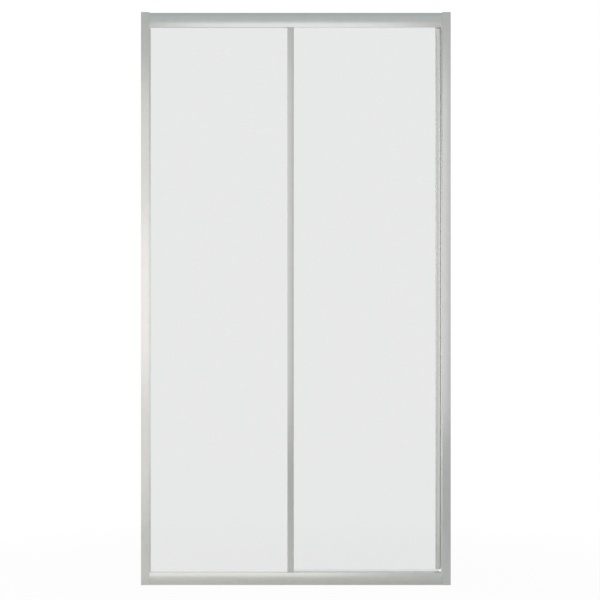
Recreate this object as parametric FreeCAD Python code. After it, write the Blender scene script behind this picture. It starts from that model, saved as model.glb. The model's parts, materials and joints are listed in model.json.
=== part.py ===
"""Framed sliding shower door for an alcove: a fixed pane in front and a sliding panel behind it.

Millimetres. X runs to the right, Y to the back (into the shower) and Z up. The origin is the middle of
the sill's underside, half-way through the depth of the frame.
"""
import FreeCAD
import Part

import math
import os

V = FreeCAD.Vector

# Overall size of the frame
frame_width = 1000.0
frame_height = 1850.0
frame_depth = 50.0

# Extruded aluminium sections
wall = 2.0
upright_face = 27.0
upright_crown = 0.4
edge_round = 1.2
header_height = 46.0
sill_height = 40.0
crown_radius = 70.0
crown_lip_tilt = 17.0
slot_depth = 24.0
groove_depth = 12.0
groove_lip = 3.0
groove_lip_edge = 0.8

# Wall channels
channel_depth = 20.0
channel_gap = 0.2
channel_top_gap = 6.0
cap_tongue = 5.0
wall_hole_radius = 2.5
wall_hole_inset = 150.0
wall_hole_inner_inset = 660.0

# Glass and the soft strips that hold it
glass_thickness = 5.0
glazing_gap = 2.2
glazing_depth = 7.0
glazing_bulge = 0.7
fixed_glass_y = -12.0
sliding_glass_y = 8.0
setting_block = 2.0
setting_block_length = 60.0
setting_block_inset = 60.0
glass_side_gap = 1.0
sliding_glass_bottom = 10.0
sliding_glass_top_gap = 6.0

# Stiles: the meeting pair stand one behind the other, the closing one carries the edge pull
stile_width = 20.0
stile_wall = 2.3
stile_crown = 0.6
stile_edge_gap = 4.0
meeting_x = -17.0
closing_width = 16.0
panel_stile_lift = 9.5
panel_stile_head_gap = 7.0
cap_thickness = 2.0
stile_cap_thickness = 1.5
grip_reach = 10.0
grip_wall = 2.0
grip_bead_radius = 1.6
grip_end_gap = 30.0

# Magnetic closing strips
magnet_gap = 0.3
jamb_magnet = 1.6
door_magnet = 1.7
magnet_width = 12.0
magnet_end_gap = 4.0
magnet_dome = 0.4

# Tracks, with a round bead that the wheels straddle
header_track_rise = 10.0
sill_track_rise = 12.0
track_reach = 8.8
bead_radius = 1.5
bead_inset = 6.5
bead_sink = 1.0

# Screw ports in the rails and the screws
port_radius = 4.0
port_bore = 1.8
port_sink = 0.8
sill_upper_port_rise = 16.0
screw_shank = 1.75
screw_head_radius = 3.0
screw_head_height = 2.2
screw_hole_gap = 0.3
corner_screw_bite = 14.0
jamb_screw_u = 12.0
jamb_screw_inset = 200.0
jamb_screw_bite = 6.0
jamb_slot = 10.0

# Running clearances and the stop for the open panel
open_stop_inset = 47.7
stop_length = 14.0
stop_width = 7.0
running_gap = 0.3
shaft_gap = 0.05

# Top carriages
carriage_inset = 66.0
carriage_width = 58.0
carriage_height = 24.0
carriage_plate = 3.0
carriage_corner = 8.0
clamp_pad = 1.0
clamp_radius = 9.0
clamp_nut_height = 2.0
clamp_hole_radius = 7.0
bush_radius = 6.8
bush_offset = 2.0
clamp_shank = 2.5
clamp_head_radius = 4.5
clamp_head = 2.4
clamp_thread = 1.5
glass_hole_gap = 0.5
wheel_spacing = 32.0
wheel_width = 6.0
wheel_tread = 9.0
wheel_rim = 10.0
wheel_side_gap = 0.3
axle_radius = 2.5
axle_head_radius = 3.6
axle_head = 0.9

# Bottom guides
guide_wheel_tread = 7.0
guide_wheel_rim = 8.0
guide_axle_radius = 1.5
guide_travel = 5.0
guide_body_depth = 3.5
guide_leg = 3.0
guide_bridge = 2.5
guide_clamp_offset = 20.0
guide_clamp_radius = 7.0
guide_clamp_rise = 14.0
guide_ear = 9.0
guide_head_width = 15.0
guide_head = 2.5
guide_stem_radius = 1.3
guide_stem_inset = 1.6
stem_gap = 0.15
guide_carrier = 12.0
guide_carrier_height = 6.3
guide_axle_cover = 0.6
guide_seat_gap = 0.2
guide_rim = 2.0
spring_radius = 1.8
spring_seat_gap = 0.05
spring_wire = 0.6
spring_turns = 4
spring_arc_pairs = 2

# Wiper, lip seal and slot covers
lip_thickness = 0.9
wiper_rise = 6.0
wiper_clip = 4.0
wiper_sag = 0.8
seal_foot = 8.0
seal_lean = 4.0
cover_thickness = 1.2
cover_leg = 5.0
cover_gap = 0.1

# How closely an outline closes, and on how many points of each turn a spring's gap is measured
closing_tolerance = 1e-6
gap_points = 48

# Places worked out from the sizes above
front = -frame_depth / 2
back = frame_depth / 2
side = frame_width / 2
rail_end = side - upright_face
upright_top = frame_height - cap_thickness
header_bottom = upright_top - header_height
slot_width = glass_thickness + 2 * glazing_gap
slot_front = fixed_glass_y - slot_width / 2
slot_back = fixed_glass_y + slot_width / 2
web_back = slot_back + wall
groove_floor = upright_face + groove_lip - groove_depth
flange_inner = front + wall + upright_crown
panel_front = sliding_glass_y - glass_thickness / 2
panel_back = sliding_glass_y + glass_thickness / 2
closing_right = rail_end - jamb_magnet - magnet_gap - door_magnet
closing_left = closing_right - closing_width
stile_left = meeting_x - stile_width / 2
stile_right = meeting_x + stile_width / 2
stile_front = sliding_glass_y - slot_width / 2 - stile_wall
stile_back = sliding_glass_y + slot_width / 2 + stile_wall
fixed_glass_right = stile_right - wall - stile_edge_gap
panel_stile_bottom = sill_height + panel_stile_lift
panel_stile_top = header_bottom + panel_stile_head_gap
sliding_glass_left = stile_left + wall + stile_edge_gap
sliding_glass_right = closing_right - wall - stile_edge_gap
sliding_glass_top = upright_top - sliding_glass_top_gap
bead_y = back - bead_inset
header_bead_z = header_bottom + header_track_rise + wall + bead_radius - bead_sink
sill_bead_z = sill_height - sill_track_rise - wall - bead_radius + bead_sink
wheel_z = header_bead_z + bead_radius + running_gap + wheel_tread
guide_wheel_z = sill_bead_z - bead_radius - running_gap - guide_wheel_tread
carriage_x = (sliding_glass_left + carriage_inset, sliding_glass_right - carriage_inset)
first_wheel_x = carriage_x[0] - wheel_spacing / 2
open_stop_x = -rail_end + open_stop_inset
panel_travel = first_wheel_x - wheel_rim - running_gap - open_stop_x - stop_length
plate_front = panel_back + clamp_pad
plate_back = plate_front + carriage_plate
guide_back = plate_front + guide_body_depth
stem_y = plate_front + guide_stem_inset
guide_clamp_z = sliding_glass_bottom + guide_clamp_rise
bridge_z = guide_wheel_z + guide_axle_radius + guide_axle_cover + guide_seat_gap
spring_length = guide_travel + (spring_turns + 1) * spring_wire
spring_pitch = (spring_length - spring_wire - 2 * spring_seat_gap) / spring_turns
head_z = bridge_z + guide_bridge + spring_length
guide_top = head_z + guide_head + guide_rim


# Shape helpers

def outline(start, *steps):
    """Face inside a closed outline. A step is the next point, or a pair (through, end) for an arc."""
    first = V(start[0], start[1], 0)
    here = first
    edges = []
    for step in steps:
        if isinstance(step[0], tuple):
            through = V(step[0][0], step[0][1], 0)
            there = V(step[1][0], step[1][1], 0)
            edges.append(Part.Arc(here, through, there).toShape())
        else:
            there = V(step[0], step[1], 0)
            edges.append(Part.LineSegment(here, there).toShape())
        here = there
    if here.distanceToPoint(first) > closing_tolerance:
        edges.append(Part.LineSegment(here, first).toShape())
    return Part.Face(Part.Wire(edges))


def patch(a0, a1, b0, b1):
    """Rectangular face."""
    return outline((a0, b0), (a1, b0), (a1, b1), (a0, b1))


def disc(a, b, radius):
    """Round face."""
    return Part.Face(Part.Wire(Part.Circle(V(a, b, 0), V(0, 0, 1), radius).toShape()))


def rounded(a0, a1, b0, b1, radius):
    """Rectangular face with round corners."""
    near = radius * (1 - math.sqrt(0.5))
    return outline(
        (a0 + radius, b0),
        (a1 - radius, b0),
        ((a1 - near, b0 + near), (a1, b0 + radius)),
        (a1, b1 - radius),
        ((a1 - near, b1 - near), (a1 - radius, b1)),
        (a0 + radius, b1),
        ((a0 + near, b1 - near), (a0, b1 - radius)),
        (a0, b0 + radius),
        ((a0 + near, b0 + near), (a0 + radius, b0)),
    )


def joined(shapes):
    """One shape from several that meet, with the seams between them removed."""
    return shapes[0].multiFuse(shapes[1:]).removeSplitter()


def along_x(face, x0, x1):
    """Extrude a section drawn in (Y, Z) from x0 to x1."""
    solid = face.extrude(V(0, 0, x1 - x0))
    solid.Placement = FreeCAD.Placement(FreeCAD.Matrix(0, 0, 1, x0, 1, 0, 0, 0, 0, 1, 0, 0))
    return solid


def along_y(face, y0, y1):
    """Extrude a section drawn in (X, Z) from y0 to y1."""
    solid = face.extrude(V(0, 0, y1 - y0))
    solid.Placement = FreeCAD.Placement(FreeCAD.Matrix(1, 0, 0, 0, 0, 0, -1, y1, 0, 1, 0, 0))
    return solid


def along_z(face, z0, z1):
    """Extrude a section drawn in (X, Y) from z0 to z1."""
    solid = face.extrude(V(0, 0, z1 - z0))
    solid.translate(V(0, 0, z0))
    return solid


def block(x0, x1, y0, y1, z0, z1):
    """Plain block between two corners."""
    return along_z(patch(x0, x1, y0, y1), z0, z1)


def turned(start, *steps):
    """Solid of revolution about the Y axis, from an outline drawn as (radius, y)."""
    return outline(start, *steps).revolve(V(0, 0, 0), V(0, 1, 0), 360)


def moved(shape, x, y, z):
    """Copy of a shape, shifted."""
    copy = shape.copy()
    copy.translate(V(x, y, z))
    return copy


def mirrored(shape):
    """Copy of a shape, mirrored to the other side of the door."""
    return shape.mirror(V(0, 0, 0), V(1, 0, 0))


def round_bar(radius, y0, y1, x, z):
    """Round bar along Y."""
    return Part.makeCylinder(radius, y1 - y0, V(x, y0, z), V(0, 1, 0))


def hexagon(a, b, radius):
    """Face with six sides."""
    corners = [math.pi / 3 * i for i in range(6)]
    return outline(*[(a + radius * math.cos(t), b + radius * math.sin(t)) for t in corners])


def hex_screw(head_radius, head_height, shank, length):
    """Screw along +Y, with the underside of its head at the origin."""
    head = along_y(hexagon(0, 0, head_radius), -head_height, 0)
    return joined([head, round_bar(shank, 0, length, 0, 0)])


def save(name, *solids):
    """Write one named piece, which may be a group of like solids."""
    shape = solids[0] if len(solids) == 1 else Part.makeCompound(list(solids))
    shape.exportStep("parts/" + name + ".step")


# Rails

def crown_point(radius, rise):
    """Point of the curved front at a distance from the lip, on an arc of this radius."""
    middle = crown_radius * math.sin(math.radians(crown_lip_tilt))
    return (front + crown_radius - math.sqrt(radius ** 2 - (rise - middle) ** 2), rise)


def web_port(height):
    """Screw port in the corner between a rail's middle web and its base."""
    return (web_back + port_radius - port_sink, height - wall - port_radius + port_sink)


def track_space(height, track_rise):
    """Open space behind a rail's web, above its track, drawn as (Y, distance from its lip)."""
    below = -wall
    beyond = back + wall
    edge = back - track_reach
    top = track_rise + wall
    half_bead = math.sqrt(bead_radius ** 2 - (bead_radius - bead_sink) ** 2)
    bead_top = top - bead_sink + 2 * bead_radius
    return outline(
        (web_back, below),
        (beyond, below),
        (beyond, track_rise),
        (edge + wall / 2, track_rise),
        ((edge, track_rise + wall / 2), (edge + wall / 2, top)),
        (bead_y - half_bead, top),
        ((bead_y, bead_top), (bead_y + half_bead, top)),
        (back - wall, top),
        (back - wall, height - wall),
        (web_back, height - wall),
    )


def rail_section(height, track_rise, ports):
    """Section of the header or the sill, drawn as (Y, distance from its lip)."""
    inner = crown_radius - wall
    silhouette = outline(
        crown_point(crown_radius, 0),
        (crown_point(crown_radius, height / 2), crown_point(crown_radius, height)),
        (back, height),
        (back, 0),
    )
    front_hollow = outline(
        crown_point(inner, wall),
        (crown_point(inner, height / 2), crown_point(inner, height - wall)),
        (slot_back, height - wall),
        (slot_back, slot_depth + wall),
        (slot_front - wall, slot_depth + wall),
        (slot_front - wall, wall),
    )
    slot = patch(slot_front, slot_back, -wall, slot_depth)
    rings = [disc(y, rise, port_radius) for y, rise in ports]
    space = track_space(height, track_rise).cut(Part.makeCompound(rings))
    bores = [disc(y, rise, port_bore) for y, rise in ports]
    return silhouette.cut(Part.makeCompound([front_hollow, slot, space] + bores)).Faces[0]


header_ports = [web_port(header_height), (bead_y, web_port(header_height)[1])]
sill_ports = [web_port(sill_height), (web_port(sill_height)[0], sill_upper_port_rise)]
port_places = [(y, header_bottom + rise) for y, rise in header_ports]
port_places += [(y, sill_height - rise) for y, rise in sill_ports]


def header_rail():
    section = rail_section(header_height, header_track_rise, header_ports)
    return moved(along_x(section, -rail_end, rail_end), 0, 0, header_bottom)


def sill_rail():
    section = rail_section(sill_height, sill_track_rise, sill_ports)
    upside_down = section.mirror(V(0, sill_height / 2, 0), V(0, 1, 0))
    return along_x(upside_down, -rail_end, rail_end)


# Uprights, wall channels and their screws, drawn for the left side

def crowned_edge():
    """Outline steps along an upright's gently crowned front, from the wall to its rounded edge."""
    shoulder = front + upright_crown
    near = edge_round * (1 - math.sqrt(0.5))
    return [
        (0, shoulder),
        ((upright_face / 2, front), (upright_face - edge_round, shoulder)),
        ((upright_face - near, shoulder + near), (upright_face, shoulder + edge_round)),
    ]


def jamb_screw_heights():
    return [jamb_screw_inset, upright_top / 2, upright_top - jamb_screw_inset]


def upright():
    """Channel with a bevelled lip on each side of its glazing groove."""
    tip = upright_face + groove_lip
    inside = upright_face - wall
    bevel_end = slot_front - groove_lip_edge
    bevel_start = bevel_end - groove_lip
    section = outline(
        *crowned_edge(),
        (upright_face, bevel_start),
        (tip, bevel_end),
        (tip, slot_front),
        (groove_floor, slot_front),
        (groove_floor, slot_back),
        (tip, slot_back),
        (tip, web_back),
        (upright_face, web_back),
        (upright_face, back),
        (0, back),
        (0, back - wall),
        (inside, back - wall),
        (inside, web_back),
        (groove_floor - wall, web_back),
        (groove_floor - wall, slot_front - wall),
        (inside, slot_front - wall),
        (inside, flange_inner),
        (0, flange_inner),
    )
    body = along_z(section, 0, upright_top)
    cuts = [
        block(upright_face, tip, bevel_start, web_back, 0, sill_height),
        block(upright_face, tip, bevel_start, web_back, header_bottom, upright_top),
    ]
    hole = screw_shank + screw_hole_gap
    for y, z in port_places:
        start = V(upright_face - wall, y, z)
        cuts.append(Part.makeCylinder(hole, wall, start, V(1, 0, 0)))
    for z in jamb_screw_heights():
        cuts.append(round_bar(hole, back - wall, back, jamb_screw_u, z))
    return moved(body.cut(Part.makeCompound(cuts)), -side, 0, 0)


def wall_channel():
    front_leg = flange_inner + channel_gap
    rear_leg = back - wall - channel_gap
    section = outline(
        (0, front_leg),
        (channel_depth, front_leg),
        (channel_depth, front_leg + wall),
        (wall, front_leg + wall),
        (wall, rear_leg - wall),
        (channel_depth, rear_leg - wall),
        (channel_depth, rear_leg),
        (0, rear_leg),
    )
    body = along_z(section, 0, upright_top - channel_top_gap)
    cuts = []
    for inset in (wall_hole_inset, wall_hole_inner_inset):
        for z in (inset, upright_top - inset):
            cuts.append(Part.makeCylinder(wall_hole_radius, wall, V(0, 0, z), V(1, 0, 0)))
    for z in jamb_screw_heights():
        slot_ends = (jamb_screw_u - jamb_slot / 2, jamb_screw_u + jamb_slot / 2)
        cuts.append(block(*slot_ends, rear_leg - wall, rear_leg, z - port_bore, z + port_bore))
    return moved(body.cut(Part.makeCompound(cuts)), -side, 0, 0)


def top_cap():
    """Cap over an upright's open top, with a tongue behind each flange."""
    plate = along_z(outline((0, back), *crowned_edge(), (upright_face, back)), upright_top, frame_height)
    low = upright_top - cap_tongue
    front_tongue = flange_inner + channel_gap
    rear_tongue = back - wall - channel_gap
    tongues = [
        block(wall, channel_depth, front_tongue, front_tongue + wall, low, upright_top),
        block(wall, channel_depth, rear_tongue - wall, rear_tongue, low, upright_top),
    ]
    return moved(joined([plate] + tongues), -side, 0, 0)


def corner_screws():
    """Screws from inside an upright into the ends of the rails."""
    screw = hex_screw(screw_head_radius, screw_head_height, screw_shank, wall + corner_screw_bite)
    screw.rotate(V(0, 0, 0), V(0, 0, 1), -90)
    return [moved(screw, -side + upright_face - wall, y, z) for y, z in port_places]


def jamb_screws():
    """Screws from the back of an upright into its wall channel."""
    screw = hex_screw(screw_head_radius, screw_head_height, screw_shank, wall + jamb_screw_bite)
    screw.rotate(V(0, 0, 0), V(0, 0, 1), 180)
    return [moved(screw, jamb_screw_u - side, back, z) for z in jamb_screw_heights()]


# Glass and the strips around it

def strip_pair(deep, shown, glass_y):
    """Sections of the strips in front of and behind a pane, drawn as (depth in the groove, Y)."""
    bulge = glazing_bulge if shown > deep else -glazing_bulge
    faces = []
    for way in (-1, 1):
        pane = glass_y + way * glass_thickness / 2
        fin = pane + way * glazing_gap
        nose = (shown + bulge, (pane + fin) / 2)
        faces.append(outline((deep, pane), (shown, pane), (nose, (shown, fin)), (deep, fin)))
    return faces


def turned_upright(face):
    """Section drawn as (Z, Y) turned into one drawn as (Y, Z)."""
    return face.mirror(V(0, 0, 0), V(1, -1, 0))


def upright_strips(deep, shown, glass_y, z0, z1):
    return [along_z(face, z0, z1) for face in strip_pair(deep, shown, glass_y)]


def level_strips(deep, shown, glass_y, x0, x1):
    return [along_x(turned_upright(face), x0, x1) for face in strip_pair(deep, shown, glass_y)]


def fixed_glass():
    left = -side + groove_floor + glass_side_gap
    low = sill_height - slot_depth + setting_block
    high = header_bottom + slot_depth - setting_block
    return along_y(patch(left, fixed_glass_right, low, high), *pane_faces(fixed_glass_y))


def pane_faces(glass_y):
    return glass_y - glass_thickness / 2, glass_y + glass_thickness / 2


def setting_blocks():
    low = sill_height - slot_depth
    half = slot_width / 2 - channel_gap
    left = -side + groove_floor + glass_side_gap + setting_block_inset
    right = fixed_glass_right - setting_block_inset - setting_block_length
    blocks = []
    for x in (left, right):
        corners = (x, x + setting_block_length, fixed_glass_y - half, fixed_glass_y + half)
        blocks.append(block(*corners, low, low + setting_block))
    return blocks


def slot_cover_section():
    """Clip that closes an unused stretch of glazing slot, drawn as (depth in the slot, Y)."""
    near = slot_front + cover_gap
    far = slot_back - cover_gap
    return outline(
        (0, near),
        (cover_leg, near),
        (cover_leg, near + cover_thickness),
        (cover_thickness, near + cover_thickness),
        (cover_thickness, far - cover_thickness),
        (cover_leg, far - cover_thickness),
        (cover_leg, far),
        (0, far),
    )


def header_slot_cover():
    strip = along_x(turned_upright(slot_cover_section()), stile_right, rail_end - groove_lip)
    return moved(strip, 0, 0, header_bottom)


def sill_slot_cover():
    section = turned_upright(slot_cover_section()).mirror(V(0, 0, 0), V(0, 1, 0))
    return moved(along_x(section, stile_right, rail_end - groove_lip), 0, 0, sill_height)


def right_groove_cover():
    strip = along_z(slot_cover_section(), sill_height, header_bottom)
    return moved(strip, rail_end - groove_lip, 0, 0)


# Stiles, seals and magnets

def stile_section(left, right, glass_y):
    """Section of a stile that takes a pane's right edge, drawn as (X, Y), with a crowned front."""
    groove_front = glass_y - slot_width / 2
    groove_back = glass_y + slot_width / 2
    shoulder = groove_front - stile_wall + stile_crown
    near = edge_round * (1 - math.sqrt(0.5))
    return outline(
        (left, groove_front),
        (left, shoulder),
        (((left + right) / 2, shoulder - stile_crown), (right - edge_round, shoulder)),
        ((right - near, shoulder + near), (right, shoulder + edge_round)),
        (right, groove_back + stile_wall),
        (left, groove_back + stile_wall),
        (left, groove_back),
        (right - wall, groove_back),
        (right - wall, groove_front),
    )


def fixed_stile():
    section = stile_section(stile_left, stile_right, fixed_glass_y)
    return along_z(section, sill_height, header_bottom)


def overlap_section():
    section = stile_section(stile_left, stile_right, sliding_glass_y)
    return section.mirror(V(meeting_x, 0, 0), V(1, 0, 0))


def overlap_stile():
    return along_z(overlap_section(), panel_stile_bottom, panel_stile_top)


grip_span = (panel_stile_bottom + grip_end_gap, panel_stile_top - grip_end_gap)
grip_right = closing_left + grip_wall
grip_root = stile_front + stile_wall


def closing_stile():
    """Stile at the closing edge, with a rebate along its front lip for the edge pull."""
    section = stile_section(closing_left, closing_right, sliding_glass_y)
    body = along_z(section, panel_stile_bottom, panel_stile_top)
    return body.cut(block(closing_left, grip_right, stile_front, grip_root, *grip_span))


def edge_pull():
    """Beaded fin that stands in front of the closing stile, to pull the panel open."""
    tip = stile_front - grip_reach
    fin = patch(closing_left, grip_right, tip, grip_root)
    bead = disc(closing_left + grip_wall / 2, tip, grip_bead_radius)
    return along_z(joined([fin, bead]).Faces[0], *grip_span)


def stile_end_caps():
    """Caps on both ends of the sliding panel's stiles, cut out round the glass."""
    glass_front, glass_back = pane_faces(sliding_glass_y)
    fit = channel_gap
    ends = [
        (stile_left, stile_right, sliding_glass_left - fit, stile_right),
        (closing_left, closing_right, closing_left, sliding_glass_right + fit),
    ]
    caps = []
    for left, right, notch_left, notch_right in ends:
        plate = patch(left, right, stile_front + stile_crown, stile_back)
        cap = plate.cut(patch(notch_left, notch_right, glass_front - fit, glass_back + fit)).Faces[0]
        caps.append(along_z(cap, panel_stile_bottom - stile_cap_thickness, panel_stile_bottom))
        caps.append(along_z(cap, panel_stile_top, panel_stile_top + stile_cap_thickness))
    return caps


def lip_seal():
    """Flexible fin on the back of the fixed stile that brushes the overlap stile."""
    base = slot_back + stile_wall
    foot = base + lip_thickness
    tip = stile_front - running_gap
    middle = (foot + tip) / 2
    bow = seal_lean / 4
    section = outline(
        (meeting_x - seal_foot / 2, base),
        (meeting_x + seal_foot / 2, base),
        (meeting_x + seal_foot / 2, foot),
        (meeting_x + lip_thickness, foot),
        ((meeting_x + lip_thickness + bow, middle), (meeting_x + lip_thickness + seal_lean, tip)),
        (meeting_x + seal_lean, tip),
        ((meeting_x + bow, middle), (meeting_x, foot)),
        (meeting_x - seal_foot / 2, foot),
    )
    return along_z(section, sill_height, header_bottom)


def sill_wiper():
    """Flexible fin clipped on the sill's web that keeps water behind the sliding glass."""
    tip = panel_front - running_gap
    clip = web_back + lip_thickness
    level = sill_height + lip_thickness
    top = sill_height + wiper_rise
    under = ((clip + tip) / 2 + wiper_sag, (sill_height + top) / 2 - wiper_sag)
    over = ((web_back + tip) / 2 + wiper_sag, (level + top + lip_thickness) / 2 - wiper_sag)
    section = outline(
        (web_back, sill_height - wiper_clip),
        (clip, sill_height - wiper_clip),
        (clip, sill_height),
        (under, (tip, top)),
        (tip, top + lip_thickness),
        (over, (web_back, level)),
        (slot_back, level),
        (slot_back, sill_height),
        (web_back, sill_height),
    )
    return along_x(section, stile_right, rail_end - groove_lip)


def magnet_strip(base, nose):
    """Magnetic strip from its seat at base to its slightly domed nose."""
    low = sliding_glass_y - magnet_width / 2
    high = sliding_glass_y + magnet_width / 2
    shoulder = nose - math.copysign(magnet_dome, nose - base)
    section = outline(
        (base, low),
        (shoulder, low),
        ((nose, sliding_glass_y), (shoulder, high)),
        (base, high),
    )
    return along_z(section, panel_stile_bottom + magnet_end_gap, panel_stile_top - magnet_end_gap)


# Sliding glass and its clamps

def sliding_glass():
    pane = patch(sliding_glass_left, sliding_glass_right, sliding_glass_bottom, sliding_glass_top)
    holes = []
    for x in carriage_x:
        holes.append(disc(x + bush_offset, wheel_z, clamp_hole_radius))
        holes.append(disc(x - guide_clamp_offset, guide_clamp_z, clamp_shank + glass_hole_gap))
    return along_y(pane.cut(Part.makeCompound(holes)).Faces[0], panel_front, panel_back)


def clamp_pad_behind(x, z, radius):
    """Soft pad between the back of the glass and the metal."""
    pad = patch(x - radius, x + radius, z - radius, z + radius)
    return along_y(pad.cut(disc(x, z, clamp_shank + glass_hole_gap)).Faces[0], panel_back, plate_front)


def clamp_nut(x, z, radius):
    """Plastic nut on the front of the glass, with a blind hole for the clamp screw."""
    nut = along_y(hexagon(x, z, radius), panel_front - clamp_nut_height, panel_front)
    hole = clamp_shank + shaft_gap
    return nut.cut(round_bar(hole, panel_front - clamp_thread, panel_front, x, z))


def clamp_screw(x, z, seat):
    """Screw from the back whose head stands on the seat and whose end is in the front nut."""
    reach = seat - panel_front + clamp_thread - shaft_gap
    screw = hex_screw(clamp_head_radius, clamp_head, clamp_shank, reach)
    screw.rotate(V(0, 0, 0), V(0, 0, 1), 180)
    return moved(screw, x, seat, z)


def eccentric_bush(x):
    """Bush in the glass that lets the panel hang higher or lower as it is turned."""
    body = disc(x + bush_offset, wheel_z, bush_radius)
    return along_y(body.cut(disc(x, wheel_z, clamp_shank + shaft_gap)).Faces[0], panel_front, panel_back)


# Wheels and carriages

def track_wheel(tread, rim, bore, front_face):
    """Wheel about the Y axis, with a groove that straddles the track's bead."""
    half = wheel_width / 2
    groove = bead_radius + running_gap
    return turned(
        (bore, front_face),
        (rim, front_face),
        (rim, -groove),
        (tread, -groove),
        (tread, groove),
        (rim, groove),
        (rim, half),
        (bore, half),
    )


def top_wheel(x):
    front_face = plate_back + wheel_side_gap - bead_y
    wheel = track_wheel(wheel_tread, wheel_rim, axle_radius + shaft_gap, front_face)
    return moved(wheel, x, bead_y, wheel_z)


def axle(radius, start, x, z):
    """Axle with a thin head behind its wheel."""
    seat = bead_y + wheel_width / 2 + wheel_side_gap
    pin = hex_screw(axle_head_radius, axle_head, radius, seat - start)
    pin.rotate(V(0, 0, 0), V(0, 0, 1), 180)
    return moved(pin, x, seat, z)


def wheel_places(x):
    return [x - wheel_spacing / 2, x + wheel_spacing / 2]


def roller_plate(x):
    half_width = carriage_width / 2
    half_height = carriage_height / 2
    low = wheel_z - half_height
    plate = rounded(x - half_width, x + half_width, low, wheel_z + half_height, carriage_corner)
    holes = [disc(place, wheel_z, axle_radius + shaft_gap) for place in wheel_places(x)]
    holes.append(disc(x, wheel_z, clamp_shank + shaft_gap))
    return along_y(plate.cut(Part.makeCompound(holes)).Faces[0], plate_front, plate_back)


def track_stop(x0, x1):
    """Buffer that grips the header's bead and stops a carriage."""
    floor = header_bottom + header_track_rise + wall
    half = stop_width / 2
    section = patch(bead_y - half, bead_y + half, floor, wheel_z + half)
    return along_x(section.cut(disc(bead_y, header_bead_z, bead_radius + shaft_gap)).Faces[0], x0, x1)


def open_stop():
    return track_stop(open_stop_x, open_stop_x + stop_length)


def closed_stop():
    face = wheel_places(carriage_x[1])[1] + wheel_rim + running_gap
    return track_stop(face, face + stop_length)


# Bottom guides: a sprung wheel under the sill's bead, pressed down to free the panel

def guide_body(x):
    inner = guide_head_width / 2 + running_gap
    outer = inner + guide_leg
    ear_left = x - guide_clamp_offset - guide_ear
    ear = patch(ear_left, x - inner, guide_clamp_z - guide_ear, guide_clamp_z + guide_ear)
    legs = [
        patch(x - outer, x - inner, bridge_z, guide_top),
        patch(x + inner, x + outer, bridge_z, guide_top),
        patch(x - outer, x + outer, bridge_z, bridge_z + guide_bridge),
    ]
    body = along_y(joined([ear] + legs).Faces[0], plate_front, guide_back)
    clamp_x = x - guide_clamp_offset
    recess = clamp_head_radius + running_gap
    cuts = [
        Part.makeCylinder(guide_stem_radius + stem_gap, guide_bridge, V(x, stem_y, bridge_z)),
        round_bar(clamp_shank + shaft_gap, plate_front, guide_back, clamp_x, guide_clamp_z),
        round_bar(recess, guide_back - clamp_head, guide_back, clamp_x, guide_clamp_z),
    ]
    return body.cut(Part.makeCompound(cuts))


def guide_slider(x):
    """Wheel carrier below the bridge, its stem, and the head that is pressed."""
    near = plate_front + running_gap
    carrier_top = bridge_z - guide_seat_gap
    carrier = block(
        x - guide_carrier / 2, x + guide_carrier / 2, near, guide_back,
        carrier_top - guide_carrier_height, carrier_top,
    )
    stem = Part.makeCylinder(guide_stem_radius, head_z - carrier_top, V(x, stem_y, carrier_top))
    half = guide_head_width / 2
    head = along_y(rounded(x - half, x + half, head_z, head_z + guide_head, edge_round), near, guide_back)
    slider = joined([carrier, stem, head])
    return slider.cut(round_bar(guide_axle_radius + shaft_gap, near, guide_back, x, guide_wheel_z))


def guide_wheel(x):
    wheel = track_wheel(
        guide_wheel_tread, guide_wheel_rim, guide_axle_radius + shaft_gap, -wheel_width / 2
    )
    return moved(wheel, x, bead_y, guide_wheel_z)


def arc_from(start, corner, end):
    """Arc that leaves start towards corner and arrives at end, both equally far from the corner."""
    half = (end - start) * 0.5
    middle = start + half
    half_turn = math.acos(half.Length / (corner - start).Length)
    towards = (corner - middle).normalize()
    return Part.Arc(start, middle + towards * (half.Length * math.tan(half_turn / 2)), end).toShape()


def coil_wire(radius, pitch, turns):
    """Centre line of a coil about Z: two tangent arcs for each half turn."""
    points = []
    ways = []
    for step in range(spring_arc_pairs * turns + 1):
        angle = 2 * math.pi * step / spring_arc_pairs
        rise = pitch * step / spring_arc_pairs
        points.append(V(radius * math.cos(angle), radius * math.sin(angle), rise))
        way = V(-radius * math.sin(angle), radius * math.cos(angle), pitch / (2 * math.pi))
        ways.append(way.normalize())
    edges = []
    for start, end, leave, arrive in zip(points, points[1:], ways, ways[1:]):
        span = end - start
        along = span.dot(leave + arrive)
        bend = 2 * (1 - leave.dot(arrive))
        reach = (math.sqrt(along ** 2 + bend * span.dot(span)) - along) / bend
        first = start + leave * reach
        last = end - arrive * reach
        middle = (first + last) * 0.5
        edges.append(arc_from(start, first, middle))
        edges.append(arc_from(middle, last, end))
    return Part.Wire(edges), points[0], ways[0]


def wire_end(start, way):
    """Square end of the spring's wire."""
    half = spring_wire / 2
    out = V(half, 0, 0)
    up = way.cross(out)
    corners = [start + out + up, start - out + up, start - out - up, start + out - up]
    return Part.makePolygon(corners + corners[:1])


def guide_spring(x):
    path, start, way = coil_wire(spring_radius, spring_pitch, spring_turns)
    coil = path.makePipeShell([wire_end(start, way)], True, False)
    return moved(coil, x, stem_y, bridge_z + guide_bridge + spring_seat_gap + spring_wire / 2)


def least_spring_gap():
    """Least gap between the turns of a guide spring, on points along its wire and over its diagonal."""
    path = coil_wire(spring_radius, spring_pitch, spring_turns)[0]
    points = path.discretize(Number=gap_points * spring_turns + 1)
    half_turn = gap_points // 2
    nearest = min(
        one.distanceToPoint(other)
        for number, one in enumerate(points)
        for other in points[number + half_turn:]
    )
    return nearest - spring_wire * math.sqrt(2)


# Write every piece

os.makedirs("parts", exist_ok=True)

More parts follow.
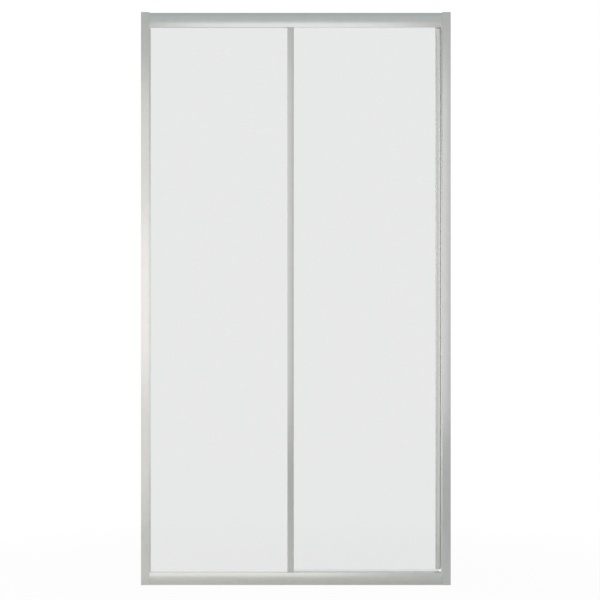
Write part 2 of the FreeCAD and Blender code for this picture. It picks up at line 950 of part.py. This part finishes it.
save("left_wall_channel", wall_channel())
save("right_wall_channel", mirrored(wall_channel()))
save("left_upright", upright())
save("right_upright", mirrored(upright()))
save("header_rail", header_rail())
save("sill_rail", sill_rail())
save("left_top_cap", top_cap())
save("right_top_cap", mirrored(top_cap()))
save("frame_corner_screws", *corner_screws(), *[mirrored(screw) for screw in corner_screws()])
save("jamb_screws", *jamb_screws(), *[mirrored(screw) for screw in jamb_screws()])

groove_mouth = -rail_end + groove_lip
level_span = (groove_mouth + glazing_bulge, stile_left - glazing_bulge)
save("fixed_glass", fixed_glass())
save(
    "fixed_glass_side_gasket",
    *upright_strips(groove_mouth - glazing_depth, groove_mouth, fixed_glass_y, sill_height, header_bottom),
)
save(
    "fixed_glass_top_gasket",
    *level_strips(header_bottom + glazing_depth, header_bottom, fixed_glass_y, *level_span),
)
save(
    "fixed_glass_bottom_gasket",
    *level_strips(sill_height - glazing_depth, sill_height, fixed_glass_y, *level_span),
)
save("glass_setting_blocks", *setting_blocks())
save("fixed_stile", fixed_stile())
save(
    "fixed_stile_gasket",
    *upright_strips(stile_left + glazing_depth, stile_left, fixed_glass_y, sill_height, header_bottom),
)
save("fixed_stile_lip_seal", lip_seal())
save("sill_wiper", sill_wiper())
save("sill_slot_cover", sill_slot_cover())
save("header_slot_cover", header_slot_cover())
save("right_groove_cover", right_groove_cover())
save("jamb_magnet_strip", magnet_strip(rail_end, rail_end - jamb_magnet))
save("open_stop", open_stop())
save("closed_stop", closed_stop())

panel_span = (panel_stile_bottom, panel_stile_top)
save("sliding_glass", sliding_glass())
save("overlap_stile", overlap_stile())
save(
    "overlap_stile_gasket",
    *upright_strips(stile_right - glazing_depth, stile_right, sliding_glass_y, *panel_span),
)
save("closing_stile", closing_stile())
save("edge_pull", edge_pull())
save(
    "closing_stile_gasket",
    *upright_strips(closing_left + glazing_depth, closing_left, sliding_glass_y, *panel_span),
)
save("stile_end_caps", *stile_end_caps())
save("door_magnet_strip", magnet_strip(closing_right, closing_right + door_magnet))

save("eccentric_bushes", *[eccentric_bush(x) for x in carriage_x])
save("roller_clamp_nuts", *[clamp_nut(x, wheel_z, clamp_radius) for x in carriage_x])
save("roller_clamp_screws", *[clamp_screw(x, wheel_z, plate_back) for x in carriage_x])
save("roller_clamp_pads", *[clamp_pad_behind(x, wheel_z, clamp_radius) for x in carriage_x])
wheel_x = [place for x in carriage_x for place in wheel_places(x)]
save("top_wheel_axles", *[axle(axle_radius, plate_front, x, wheel_z) for x in wheel_x])
for number, x in enumerate(wheel_x, 1):
    save("top_wheel_" + str(number), top_wheel(x))

guide_clamps = [x - guide_clamp_offset for x in carriage_x]
save("guide_clamp_nuts", *[clamp_nut(x, guide_clamp_z, guide_clamp_radius) for x in guide_clamps])
guide_seat = guide_back - clamp_head
save("guide_clamp_screws", *[clamp_screw(x, guide_clamp_z, guide_seat) for x in guide_clamps])
save("guide_clamp_pads", *[clamp_pad_behind(x, guide_clamp_z, guide_clamp_radius) for x in guide_clamps])
for name, x in zip(("left", "right"), carriage_x):
    save(name + "_roller_plate", roller_plate(x))
    save(name + "_guide_body", guide_body(x))
    save(name + "_guide_slider", guide_slider(x))
    save(name + "_guide_spring", guide_spring(x))
    save(name + "_guide_wheel", guide_wheel(x))
    save(name + "_guide_axle", axle(guide_axle_radius, plate_front + running_gap, x, guide_wheel_z))

print("travel of the sliding panel:", round(panel_travel, 3), "mm")
print("least gap between the turns of a guide spring:", round(least_spring_gap(), 3), "mm")
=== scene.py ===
import json
import math

import bmesh
import bpy
from mathutils import Matrix, Vector


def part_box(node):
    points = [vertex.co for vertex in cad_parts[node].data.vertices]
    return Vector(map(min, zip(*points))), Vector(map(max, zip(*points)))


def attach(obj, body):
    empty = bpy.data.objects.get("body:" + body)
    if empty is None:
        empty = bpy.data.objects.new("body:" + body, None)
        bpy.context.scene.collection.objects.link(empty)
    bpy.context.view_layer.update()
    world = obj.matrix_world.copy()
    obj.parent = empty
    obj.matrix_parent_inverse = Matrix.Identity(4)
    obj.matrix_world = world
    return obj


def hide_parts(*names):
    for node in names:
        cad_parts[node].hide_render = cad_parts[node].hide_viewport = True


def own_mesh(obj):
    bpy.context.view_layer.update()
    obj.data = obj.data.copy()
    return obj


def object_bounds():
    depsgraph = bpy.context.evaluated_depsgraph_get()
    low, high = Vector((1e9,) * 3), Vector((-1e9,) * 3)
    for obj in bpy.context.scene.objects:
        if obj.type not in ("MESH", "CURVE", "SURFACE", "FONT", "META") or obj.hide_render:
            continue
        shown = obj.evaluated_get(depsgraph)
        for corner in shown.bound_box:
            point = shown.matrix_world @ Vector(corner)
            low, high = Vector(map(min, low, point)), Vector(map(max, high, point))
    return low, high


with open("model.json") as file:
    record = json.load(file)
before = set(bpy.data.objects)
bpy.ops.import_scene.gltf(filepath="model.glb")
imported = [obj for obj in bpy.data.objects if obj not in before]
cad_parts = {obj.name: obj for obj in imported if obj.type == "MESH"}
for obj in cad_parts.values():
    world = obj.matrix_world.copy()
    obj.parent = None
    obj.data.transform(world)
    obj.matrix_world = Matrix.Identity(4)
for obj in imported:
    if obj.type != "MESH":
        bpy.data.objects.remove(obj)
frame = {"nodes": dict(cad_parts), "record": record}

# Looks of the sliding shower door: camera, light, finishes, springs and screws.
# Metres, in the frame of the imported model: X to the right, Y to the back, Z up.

cad_low, cad_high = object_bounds()
mm = 0.001

# The photograph: a square picture, its scale, and where the middle of the door is in it
picture_side = 600
pixel = 3.228 * mm
door_middle_px = (295.85, 298.6)
view_distance = 6.0
sensor = 36.0

# Floor: its own colour, how white the camera sees it in a painted shade near the door, from where that
# shade fades and from where on it is all white, and how white the metal mirrors it away from the door, with
# a painted shade near the door
floor_side = 9.0
floor_colour = (0.81, 0.79, 0.76)
floor_roughness = 0.9
floor_shade_white = 0.95
floor_shade_reach = 0.6
floor_white_reach = 1.8
floor_mirror_share = 0.1
floor_mirror_shade_reach = 2.5

# Studio: its shades by the height of the line of sight, from straight down to straight up, and how white
# the metal mirrors the ground behind the door
studio_stops = (
    (-1.0, (0.425, 0.415, 0.395)),
    (0.0, (0.505, 0.50, 0.49)),
    (0.5, (0.515, 0.565, 0.575)),
    (1.0, (0.28, 0.315, 0.325)),
)
behind_mirror_share = 0.3
behind_blend = 0.2

# Lights: their tints, and the nodes that some of them are flagged off
plain = (1, 1, 1)
warm = (1, 0.935, 0.905)
cool = (0.89, 0.985, 1)
panes = ("fixed_glass", "sliding_glass")
long_pieces = ("left_upright", "right_upright", "fixed_stile", "closing_stile", "header_rail", "sill_rail")

# Finishes: the two shades that each one varies between
aluminium_shades = ((0.80, 0.80, 0.785), (0.845, 0.845, 0.83))
seal_shades = ((0.93, 0.95, 0.945), (0.98, 0.99, 0.985))
magnet_shades = ((0.88, 0.885, 0.88), (0.46, 0.47, 0.48))
grey_plastic_shades = ((0.50, 0.51, 0.52), (0.58, 0.59, 0.60))
white_nylon_shades = ((0.80, 0.80, 0.77), (0.86, 0.86, 0.84))
black_rubber_shades = ((0.025, 0.025, 0.026), (0.05, 0.05, 0.05))
steel_shades = ((0.56, 0.57, 0.58), (0.66, 0.67, 0.68))
glass_tint = (0.815, 0.824, 0.82)
aluminium_roughness = 0.32
magnet_half_width = 2.9 * mm
fin_clearness = 1.0
gasket_clearness = 0.05
gaskets = (
    "fixed_glass_side_gasket",
    "fixed_glass_top_gasket",
    "fixed_glass_bottom_gasket",
    "fixed_stile_gasket",
    "overlap_stile_gasket",
    "closing_stile_gasket",
)

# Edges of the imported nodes: their width by slot, in millimetres
edge_width = {"clear_glass": 0.7, "satin_aluminium": 0.25, "clear_seal": 0.12, "steel": 0.2}
other_edge_width = 0.18
edge_segments = 2

# What counts as one point, as a flat face, as an edge to round, and as a sharp edge of a new piece
same_point = 1e-6
flat_angle = math.radians(0.5)
edge_angle = math.radians(40)
sharp_angle = math.radians(35)

# Springs and screws, in millimetres until they are placed
spring_length = 7.9
spring_wire = 0.6
spring_turn_radius = 1.8
spring_active_turns = 4
spring_end_turns = 1
spring_steps_per_turn = 28
wire_sides = 10
screw_head_radius = 3.0
screw_head_height = 2.2
screw_head_sides = 32
screw_head_rows = 6
head_radius_power = 0.45
head_rise_power = 0.9
screw_shank_radius = 1.75
shank_in_head = 0.4
shank_sides = 16
shank_point_share = 0.6
thread_pitch = 1.4
thread_depth = 0.4
thread_rows_per_pitch = 4
recess_half_width = 0.45
recess_reach = 1.75
recess_depth = 1.4
recess_taper = 0.45
recess_tool_over = 0.3


# Building blocks of the node trees

def new_finish(name, **sockets):
    """Material with one principled shader, and the values that are the same all over it."""
    material = bpy.data.materials.new(name)
    material.use_nodes = True
    tree = material.node_tree
    shader = tree.nodes["Principled BSDF"]
    for socket, value in sockets.items():
        shader.inputs[socket.replace("_", " ")].default_value = value
    return material, tree, shader


def combined(tree, operation, *values):
    """Math node whose inputs are sockets or numbers."""
    node = tree.nodes.new("ShaderNodeMath")
    node.operation = operation
    for value, socket in zip(values, node.inputs):
        if isinstance(value, bpy.types.NodeSocket):
            tree.links.new(value, socket)
        else:
            socket.default_value = value
    return node.outputs["Value"]


def axes_of(tree, place):
    """X, Y and Z of a place."""
    node = tree.nodes.new("ShaderNodeSeparateXYZ")
    tree.links.new(place, node.inputs["Vector"])
    return node.outputs


def spread(tree, source, low, high, start=0.3, end=0.7):
    """Values from low to high as the source goes from start to end."""
    node = tree.nodes.new("ShaderNodeMapRange")
    node.inputs["From Min"].default_value = start
    node.inputs["From Max"].default_value = end
    node.inputs["To Min"].default_value = low
    node.inputs["To Max"].default_value = high
    tree.links.new(source, node.inputs["Value"])
    return node.outputs["Result"]


def pattern(tree, scale, detail=2.0, offset=(0, 0, 0)):
    """Noise over the piece's own coordinates, with its cycles per metre along each axis."""
    place = tree.nodes.new("ShaderNodeTexCoord")
    mapping = tree.nodes.new("ShaderNodeMapping")
    mapping.inputs["Scale"].default_value = scale
    mapping.inputs["Location"].default_value = offset
    noise = tree.nodes.new("ShaderNodeTexNoise")
    noise.inputs["Scale"].default_value = 1
    noise.inputs["Detail"].default_value = detail
    tree.links.new(place.outputs["Object"], mapping.inputs["Vector"])
    tree.links.new(mapping.outputs["Vector"], noise.inputs["Vector"])
    return noise.outputs["Fac"]


def along(axis, slow, fast):
    """Scale of a pattern that is drawn out along one axis."""
    return tuple(slow if i == axis else fast for i in range(3))


def shaded(tree, shader, source, shades):
    """Base colour that goes from the first shade to the second with a value from 0 to 1."""
    node = tree.nodes.new("ShaderNodeMix")
    node.data_type = "RGBA"
    for socket, shade in zip(("A", "B"), shades):
        node.inputs[socket].default_value = (*shade, 1)
    tree.links.new(source, node.inputs["Factor"])
    tree.links.new(node.outputs["Result"], shader.inputs["Base Color"])


def roughened(tree, shader, source):
    """Roughness that follows a value."""
    tree.links.new(source, shader.inputs["Roughness"])


def bumped(tree, shader, height, depth):
    """Relief on the shader's surface, depth metres for a height from 0 to 1."""
    node = tree.nodes.new("ShaderNodeBump")
    node.inputs["Distance"].default_value = depth
    tree.links.new(height, node.inputs["Height"])
    tree.links.new(node.outputs["Normal"], shader.inputs["Normal"])


# Camera, light and floor

def link(thing):
    """Put an object in the scene."""
    bpy.context.scene.collection.objects.link(thing)
    return thing


def make_camera():
    """Camera level in front of the door, with the door where it is in the photograph."""
    camera = link(bpy.data.objects.new("camera", bpy.data.cameras.new("camera")))
    camera.data.sensor_width = sensor
    camera.data.lens = sensor * view_distance / (picture_side * pixel)
    middle = (cad_low + cad_high) / 2
    across = (picture_side / 2 - door_middle_px[0]) * pixel
    up = (door_middle_px[1] - picture_side / 2) * pixel
    camera.location = (middle.x + across, cad_low.y - view_distance, middle.z + up)
    camera.rotation_euler = (math.pi / 2, 0, 0)
    bpy.context.scene.camera = camera


def white_share(tree, seen, mirrored):
    """How white the ground is: for the camera and through the glass, and as the metal mirrors it."""
    path = tree.nodes.new("ShaderNodeLightPath")
    either = combined(tree, "MAXIMUM", path.outputs["Is Camera Ray"], path.outputs["Is Transmission Ray"])
    direct = combined(tree, "MULTIPLY", either, seen)
    glossy = combined(tree, "MULTIPLY", path.outputs["Is Glossy Ray"], mirrored)
    return combined(tree, "MAXIMUM", direct, glossy)


def make_world():
    """White ground behind the door, and a grey studio round the rest of it."""
    world = bpy.data.worlds.new("studio")
    world.use_nodes = True
    tree = world.node_tree
    axes = axes_of(tree, tree.nodes.new("ShaderNodeTexCoord").outputs["Generated"])
    shades = tree.nodes.new("ShaderNodeValToRGB")
    ramp = shades.color_ramp.elements
    while len(ramp) < len(studio_stops):
        ramp.new(0.5)
    for stop, (rise, shade) in zip(ramp, studio_stops):
        stop.position = (rise + 1) / 2
        stop.color = (*shade, 1)
    tree.links.new(spread(tree, axes["Z"], 0, 1, start=-1, end=1), shades.inputs["Fac"])
    ground = tree.nodes.new("ShaderNodeMix")
    ground.data_type = "RGBA"
    ground.inputs["B"].default_value = (1, 1, 1, 1)
    behind = spread(tree, axes["Y"], 0, behind_mirror_share, start=0, end=behind_blend)
    tree.links.new(white_share(tree, 1, behind), ground.inputs["Factor"])
    tree.links.new(shades.outputs["Color"], ground.inputs["A"])
    tree.links.new(ground.outputs["Result"], tree.nodes["Background"].inputs["Color"])
    bpy.context.scene.world = world


def soft_light(name, place, target, width, height, radiance, flagged, tint=plain):
    """Rectangular soft light that faces the target, flagged off some nodes, as bright as this radiance."""
    light = bpy.data.lights.new(name, "AREA")
    light.shape = "RECTANGLE"
    light.size = width
    light.size_y = height
    light.energy = radiance * math.pi * width * height
    light.color = tint
    lamp = link(bpy.data.objects.new(name, light))
    lamp.location = place
    lamp.rotation_euler = (Vector(target) - Vector(place)).to_track_quat("-Z", "Y").to_euler()
    unlit = bpy.data.collections.new(name + "_flags")
    for node in flagged:
        unlit.objects.link(frame["nodes"][node])
    for entry in unlit.collection_objects:
        entry.light_linking.link_state = "EXCLUDE"
    lamp.light_linking.receiver_collection = unlit


def front_light(name, lit, x, reach, z, width, height, radiance, tint):
    """Upright soft light in front of the door, flagged off the panes and the long pieces it isn't for."""
    flagged = panes + tuple(piece for piece in long_pieces if piece != lit)
    soft_light(name, (x, -reach, z), (x, 0, z), width, height, radiance, flagged, tint)


def make_lights():
    """Soft lights: in front for each long piece, over the left foot, from above and from each side."""
    half_way = (cad_low.z + cad_high.z) / 2
    front_light(
        "left_light", "left_upright",
        x=-0.55, reach=0.8, z=half_way, width=0.6, height=1.6, radiance=0.37, tint=warm,
    )
    front_light(
        "left_middle_light", "left_upright",
        x=-0.55, reach=0.7, z=half_way, width=0.6, height=0.6, radiance=0.25, tint=warm,
    )
    front_light(
        "centre_light", "fixed_stile",
        x=-0.24, reach=0.85, z=1.15, width=0.62, height=1.4, radiance=0.26, tint=plain,
    )
    front_light(
        "right_light", "right_upright",
        x=0.26, reach=0.75, z=1.12, width=0.62, height=1.3, radiance=0.37, tint=plain,
    )
    front_light(
        "closing_light", "closing_stile",
        x=0.5, reach=0.6, z=1.0, width=0.5, height=1.95, radiance=0.25, tint=plain,
    )
    front_light(
        "header_light", "header_rail",
        x=-0.03, reach=0.9, z=1.35, width=0.94, height=0.88, radiance=0.56, tint=cool,
    )
    front_light(
        "sill_light", "sill_rail",
        x=-0.65, reach=1.2, z=0.6, width=1.8, height=0.9, radiance=0.5, tint=warm,
    )
    soft_light(
        "foot_light", place=(-0.8, -0.4, 0.9), target=(-0.8, -0.4, 0),
        width=0.5, height=0.5, radiance=2.0, flagged=panes + long_pieces, tint=warm,
    )
    soft_light(
        "top_light", place=(0, 0.8, 3.2), target=(0, 0, half_way),
        width=2.2, height=1.6, radiance=0.25, flagged=panes,
    )
    for side in (-1, 1):
        soft_light(
            "side_light", place=(2.2 * side, -0.35, 0.8), target=(0, -0.1, 0.8),
            width=0.5, height=1.5, radiance=1.2, flagged=panes,
        )


def make_floor():
    """Pale floor: white away from the door, and near it a painted shade, a little darker, through which the
    door's real shadow shows; the metal mirrors it with a painted shade near the door as well.
    """
    mesh = bpy.data.meshes.new("floor")
    half = floor_side / 2
    corners = [(-half, -half, 0), (half, -half, 0), (half, half, 0), (-half, half, 0)]
    mesh.from_pydata(corners, [], [(0, 1, 2, 3)])
    floor = link(bpy.data.objects.new("floor", mesh))
    material, tree, shader = new_finish("floor", Base_Color=(*floor_colour, 1), Roughness=floor_roughness)
    white = tree.nodes.new("ShaderNodeEmission")
    mix = tree.nodes.new("ShaderNodeMixShader")
    place = tree.nodes.new("ShaderNodeNewGeometry").outputs["Position"]
    off_plane = combined(tree, "ABSOLUTE", axes_of(tree, place)["Y"])
    # painted shade in the metal's reflections: the floor they mirror is darker close to the door and whiter
    # away from it
    mirrored = spread(tree, off_plane, 0, floor_mirror_share, start=0, end=floor_mirror_shade_reach)
    length = tree.nodes.new("ShaderNodeVectorMath")
    length.operation = "LENGTH"
    tree.links.new(place, length.inputs[0])
    away = length.outputs["Value"]
    # painted shade near the door: the camera sees the floor a little darker there, with the door's real
    # shadow in it
    seen = spread(tree, away, floor_shade_white, 1, start=floor_shade_reach, end=floor_white_reach)
    tree.links.new(white_share(tree, seen, mirrored), mix.inputs["Fac"])
    tree.links.new(shader.outputs["BSDF"], mix.inputs[1])
    tree.links.new(white.outputs["Emission"], mix.inputs[2])
    tree.links.new(mix.outputs["Shader"], tree.nodes["Material Output"].inputs["Surface"])
    mesh.materials.append(material)


# Finishes

def aluminium(name, axis):
    """Satin anodised extrusion: die lines along its length and cloudy anodising."""
    material, tree, shader = new_finish(name, Metallic=1.0)
    lines = pattern(tree, along(axis, slow=2.5, fast=2600), detail=3)
    broad = pattern(tree, along(axis, slow=1.2, fast=420), detail=2, offset=(3, 7, 5))
    cloud = pattern(tree, (34, 34, 34), detail=4)
    uneven = combined(tree, "ADD", lines, cloud)
    shaded(tree, shader, spread(tree, uneven, 0, 1, start=0.75, end=1.25), aluminium_shades)
    line_sheen = spread(tree, lines, aluminium_roughness - 0.04, aluminium_roughness + 0.04)
    cloud_sheen = spread(tree, cloud, -0.01, 0.01)
    roughened(tree, shader, combined(tree, "ADD", line_sheen, cloud_sheen))
    bumped(tree, shader, combined(tree, "ADD", lines, broad), depth=0.018 * mm)
    return material


def glass():
    """Clear float glass: faint waviness, and a trace of dried haze."""
    material, tree, shader = new_finish(
        "clear_glass", Base_Color=(*glass_tint, 1), Transmission_Weight=1.0, IOR=1.5
    )
    haze = pattern(tree, (9, 9, 2.2), detail=4)
    roughened(tree, shader, spread(tree, haze, 0.0, 0.025, start=0.5, end=0.8))
    bumped(tree, shader, pattern(tree, (3, 3, 1.5), detail=1), depth=0.006 * mm)
    return material


def clear_seal(name, axis, clearness):
    """Soft translucent PVC strip, a little cloudy, with the faint lines of its die."""
    material, tree, shader = new_finish(
        name, Transmission_Weight=clearness, IOR=1.4, Specular_IOR_Level=0.4
    )
    cloud = pattern(tree, (160, 160, 160), detail=3)
    shaded(tree, shader, cloud, seal_shades)
    roughened(tree, shader, spread(tree, cloud, 0.10, 0.20))
    bumped(tree, shader, pattern(tree, along(axis, slow=6, fast=1800)), depth=0.008 * mm)
    return material


def magnet_strip():
    """Pale soft PVC with its dark magnet showing through along the middle."""
    material, tree, shader = new_finish("magnet_strip", Specular_IOR_Level=0.4)
    axes = axes_of(tree, tree.nodes.new("ShaderNodeTexCoord").outputs["Object"])
    low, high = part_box("door_magnet_strip")
    inside = combined(tree, "COMPARE", axes["Y"], (low.y + high.y) / 2, magnet_half_width)
    cloud = pattern(tree, (220, 220, 40), detail=3)
    core = spread(tree, cloud, 0.55, 0.75)
    shaded(tree, shader, combined(tree, "MULTIPLY", inside, core), magnet_shades)
    roughened(tree, shader, spread(tree, cloud, 0.36, 0.5))
    bumped(tree, shader, pattern(tree, (1500, 1500, 6)), depth=0.02 * mm)
    return material


def moulded(name, shades, roughness, grain, depth):
    """Moulded plastic or rubber: two close shades, an uneven sheen and a fine grain."""
    material, tree, shader = new_finish(name, Specular_IOR_Level=0.45)
    cloud = pattern(tree, (120, 120, 120), detail=4)
    shaded(tree, shader, spread(tree, cloud, 0, 1), shades)
    roughened(tree, shader, spread(tree, cloud, roughness - 0.06, roughness + 0.06))
    bumped(tree, shader, pattern(tree, (grain, grain, grain)), depth)
    return material


def steel():
    """Plain stainless steel with rolled streaks."""
    material, tree, shader = new_finish("steel", Metallic=1.0)
    streaks = pattern(tree, (160, 2600, 2600), detail=3)
    shaded(tree, shader, spread(tree, streaks, 0, 1), steel_shades)
    roughened(tree, shader, spread(tree, streaks, 0.22, 0.38))
    bumped(tree, shader, streaks, depth=0.008 * mm)
    return material


def make_finishes():
    """Finish of each slot, along X and along Z where it follows the length of the piece."""
    x_axis, z_axis = 0, 2
    return {
        "satin_aluminium": (
            aluminium("aluminium_level", x_axis),
            aluminium("aluminium_upright", z_axis),
        ),
        "clear_seal": (
            clear_seal("clear_fin_level", x_axis, fin_clearness),
            clear_seal("clear_fin_upright", z_axis, fin_clearness),
        ),
        "gasket": (
            clear_seal("gasket_level", x_axis, gasket_clearness),
            clear_seal("gasket_upright", z_axis, gasket_clearness),
        ),
        "clear_glass": glass(),
        "magnet_strip": magnet_strip(),
        "grey_plastic": moulded(
            "grey_plastic", grey_plastic_shades, roughness=0.42, grain=2200, depth=0.02 * mm
        ),
        "white_nylon": moulded(
            "white_nylon", white_nylon_shades, roughness=0.36, grain=1500, depth=0.012 * mm
        ),
        "black_rubber": moulded(
            "black_rubber", black_rubber_shades, roughness=0.68, grain=2600, depth=0.03 * mm
        ),
        "steel": steel(),
    }


def soften(node, slot):
    """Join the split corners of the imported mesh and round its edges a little."""
    weld = node.modifiers.new("weld", "WELD")
    weld.merge_threshold = same_point
    flat = node.modifiers.new("flat faces", "DECIMATE")
    flat.decimate_type = "DISSOLVE"
    flat.angle_limit = flat_angle
    bevel = node.modifiers.new("edges", "BEVEL")
    bevel.width = edge_width.get(slot, other_edge_width) * mm
    bevel.segments = edge_segments
    bevel.limit_method = "ANGLE"
    bevel.angle_limit = edge_angle
    shading = node.modifiers.new("shading", "WEIGHTED_NORMAL")
    shading.mode = "FACE_AREA"


def dress_nodes(finishes):
    """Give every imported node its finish, and soften its edges."""
    for row in frame["record"]["subparts"]:
        node = frame["nodes"][row["node"]]
        slot = row["material_slot"]
        finish = finishes["gasket" if row["node"] in gaskets else slot]
        if isinstance(finish, tuple):
            low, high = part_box(row["node"])
            level, upright = finish
            finish = level if high.x - low.x > high.z - low.z else upright
        node.data.materials.clear()
        node.data.materials.append(finish)
        soften(node, slot)


# Building blocks of the springs and screws

def skin(mesh, rings):
    """Closed surface through a list of rings with as many points each."""
    for one, other in zip(rings, rings[1:]):
        for k in range(len(one)):
            near = (k + 1) % len(one)
            mesh.faces.new((one[k], one[near], other[near], other[k]))
    mesh.faces.new(rings[0][::-1])
    mesh.faces.new(rings[-1])


def turns_of(sides):
    """Angles of evenly spaced points round a circle."""
    return [2 * math.pi * k / sides for k in range(sides)]


def add_piece(name, mesh, body, finish, node):
    """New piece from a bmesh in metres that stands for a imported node."""
    data = bpy.data.meshes.new(name)
    mesh.to_mesh(data)
    mesh.free()
    for face in data.polygons:
        face.use_smooth = True
    data.materials.append(finish)
    data.set_sharp_from_angle(angle=sharp_angle)
    piece = link(bpy.data.objects.new(name, data))
    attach(piece, body)
    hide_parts(node)
    return piece


# Springs

def coil_path():
    """Centre line of a compression spring about Z: a closed turn at each end, open turns between them."""
    turns = spring_active_turns + 2 * spring_end_turns
    open_rise = (spring_length - spring_wire * (1 + 2 * spring_end_turns)) / spring_active_turns
    path = []
    z = spring_wire / 2
    for step in range(turns * spring_steps_per_turn + 1):
        turn = step / spring_steps_per_turn
        angle = 2 * math.pi * turn
        path.append(Vector((spring_turn_radius * math.cos(angle), spring_turn_radius * math.sin(angle), z)))
        at_end = turn < spring_end_turns or turn >= turns - spring_end_turns
        z += (spring_wire if at_end else open_rise) / spring_steps_per_turn
    return path


def coil():
    """Closed tube of round wire along the spring's centre line."""
    mesh = bmesh.new()
    path = coil_path()
    radius = spring_wire / 2
    rings = []
    for i, here in enumerate(path):
        before = path[max(i - 1, 0)]
        after = path[min(i + 1, len(path) - 1)]
        way = (after - before).normalized()
        out = Vector((here.x, here.y, 0)).normalized()
        up = way.cross(out).normalized()
        out = up.cross(way)
        offsets = [radius * (math.cos(t) * out + math.sin(t) * up) for t in turns_of(wire_sides)]
        rings.append([mesh.verts.new(here + offset) for offset in offsets])
    skin(mesh, rings)
    bmesh.ops.recalc_face_normals(mesh, faces=mesh.faces)
    return mesh


def make_springs(finish):
    """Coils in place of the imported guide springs, pressed together as far as the guides go."""
    for side in ("left", "right"):
        node = side + "_guide_spring"
        low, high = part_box(node)
        middle = (low + high) / 2
        foot = (middle.x, middle.y, low.z)
        mesh = coil()
        mesh.transform(Matrix.Translation(foot) @ Matrix.Scale(mm, 4))
        spring = add_piece(side + "_coil_spring", mesh, "panel", finish, node)
        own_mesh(spring)


# Screws

def ring(mesh, radius, rise, sides):
    """Ring of points about Z."""
    return [mesh.verts.new((radius * math.cos(t), radius * math.sin(t), rise)) for t in turns_of(sides)]


def pan_head():
    """Domed head above the plane Z = 0, steep at its rim and flatter on top."""
    mesh = bmesh.new()
    rings = []
    for row in range(screw_head_rows):
        lean = math.pi / 2 * row / screw_head_rows
        radius = screw_head_radius * math.cos(lean) ** head_radius_power
        rise = screw_head_height * math.sin(lean) ** head_rise_power
        rings.append(ring(mesh, radius, rise, screw_head_sides))
    skin(mesh, rings)
    return mesh


def cross_tool():
    """Tapered cross that cuts the recess, at its full width a little above the head."""
    mesh = bmesh.new()
    bottom = screw_head_height - recess_depth
    top = screw_head_height + recess_tool_over
    rings = []
    for rise, share in ((bottom, recess_taper), (top, 1)):
        wide = recess_half_width * share
        far = recess_reach * share
        points = []
        for quarter in range(4):
            turn = Matrix.Rotation(quarter * math.pi / 2, 3, "Z")
            for x, y in ((far, -wide), (far, wide), (wide, wide)):
                points.append(mesh.verts.new(turn @ Vector((x, y, rise))))
        rings.append(points)
    skin(mesh, rings)
    return mesh


def thread(length):
    """Threaded shank below the plane Z = 0 with a narrower end, and its root in the head above it."""
    mesh = bmesh.new()
    pitches = int(length / thread_pitch)
    rows = pitches * thread_rows_per_pitch
    rings = [ring(mesh, screw_shank_radius - thread_depth, shank_in_head, shank_sides)]
    for row in range(rows + 1):
        level = ring(mesh, 1, -row * length / rows, shank_sides)
        narrow = shank_point_share if row > rows - thread_rows_per_pitch else 1
        for k, point in enumerate(level):
            turn = (row / thread_rows_per_pitch + k / shank_sides) % 1
            root = abs(2 * turn - 1) * thread_depth
            point.co.x *= (screw_shank_radius - root) * narrow
            point.co.y *= (screw_shank_radius - root) * narrow
        rings.append(level)
    skin(mesh, rings[::-1])
    return mesh


def loose(name, mesh):
    """Object for a bmesh that only serves to make another one."""
    data = bpy.data.meshes.new(name)
    bmesh.ops.recalc_face_normals(mesh, faces=mesh.faces)
    mesh.to_mesh(data)
    mesh.free()
    return link(bpy.data.objects.new(name, data))


def screw(length):
    """Pan head screw with a cross recess, head above the plane Z = 0, in millimetres."""
    head = loose("head", pan_head())
    shank = loose("shank", thread(length))
    tool = loose("tool", cross_tool())
    for operation, other in (("UNION", shank), ("DIFFERENCE", tool)):
        change = head.modifiers.new(other.name, "BOOLEAN")
        change.operation = operation
        change.object = other
    seen = head.evaluated_get(bpy.context.evaluated_depsgraph_get())
    mesh = bmesh.new()
    mesh.from_mesh(seen.to_mesh())
    for done in (head, shank, tool):
        bpy.data.objects.remove(done)
    return mesh


def island_boxes(node):
    """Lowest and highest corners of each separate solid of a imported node."""
    mesh = bmesh.new()
    mesh.from_mesh(node.data)
    bmesh.ops.remove_doubles(mesh, verts=mesh.verts, dist=same_point)
    left = set(mesh.verts)
    boxes = []
    while left:
        group = [left.pop()]
        for point in group:
            near = {edge.other_vert(point) for edge in point.link_edges} & left
            left -= near
            group.extend(near)
        spans = [[point.co[axis] for point in group] for axis in range(3)]
        boxes.append((Vector(min(span) for span in spans), Vector(max(span) for span in spans)))
    mesh.free()
    return boxes


def make_screws(name, node, axis, finish):
    """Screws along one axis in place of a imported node, each with its head to the outside of the door."""
    whole = bmesh.new()
    for low, high in island_boxes(frame["nodes"][node]):
        middle = (low + high) / 2
        out = math.copysign(1, middle[axis])
        seat = middle.copy()
        seat[axis] = (high if out > 0 else low)[axis] - out * screw_head_height * mm
        way = Vector(out if i == axis else 0 for i in range(3))
        turn = way.to_track_quat("Z", "Y").to_matrix().to_4x4()
        one = screw((high - low)[axis] / mm - screw_head_height)
        one.transform(Matrix.Translation(seat) @ turn @ Matrix.Scale(mm, 4))
        data = bpy.data.meshes.new("one")
        one.to_mesh(data)
        one.free()
        whole.from_mesh(data)
        bpy.data.meshes.remove(data)
    add_piece(name, whole, "frame", finish, node)


make_camera()
make_world()
make_lights()
make_floor()
finishes = make_finishes()
dress_nodes(finishes)
make_springs(finishes["steel"])
make_screws("cross_head_corner_screws", "frame_corner_screws", 0, finishes["steel"])
make_screws("cross_head_jamb_screws", "jamb_screws", 1, finishes["steel"])

bpy.context.scene.view_settings.view_transform = "Standard"
